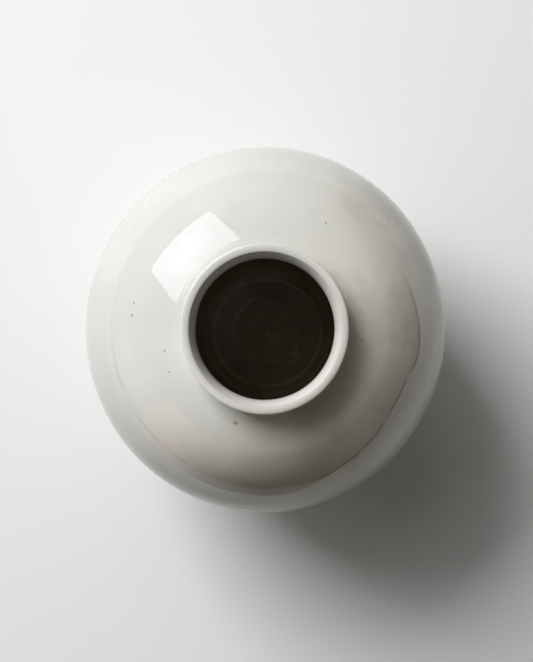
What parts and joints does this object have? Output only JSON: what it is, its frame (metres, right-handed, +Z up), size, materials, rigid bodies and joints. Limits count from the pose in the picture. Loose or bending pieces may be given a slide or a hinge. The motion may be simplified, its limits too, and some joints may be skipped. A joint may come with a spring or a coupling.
{
  "type": "moon jar",
  "caption": "Large round white porcelain jar on a low foot ring, with a short neck and a rolled lip, for standing on a table or holding branches.",
  "frame": {"origin": "centre of the circle on which the foot ring stands", "axes": "+Z up the jar's axis towards the mouth; X and Y are level, and the jar is the same all round"},
  "size_m": [0.3999, 0.4, 0.343],
  "materials": {
    "bare_clay": "fired, unglazed, finely gritty",
    "body_clay": "fired porcelain under the glaze",
    "slip": "fired slip, smooth",
    "outer_glaze": "glossy clear glaze over white clay, a few iron specks",
    "inner_glaze": "glossy clear glaze over throwing rings",
    "base_glaze": "thin clear glaze"
  },
  "bodies": {
    "root": {"foot_ring": "bare_clay", "foot_slip": "slip", "lower_bowl": "body_clay", "waist_slip": "slip", "waist_coil": "body_clay", "upper_bowl": "body_clay", "neck_slip": "slip", "neck_collar": "body_clay", "outer_glaze": "outer_glaze", "inner_glaze": "inner_glaze", "base_glaze": "base_glaze"}
  },
  "joints": []
}
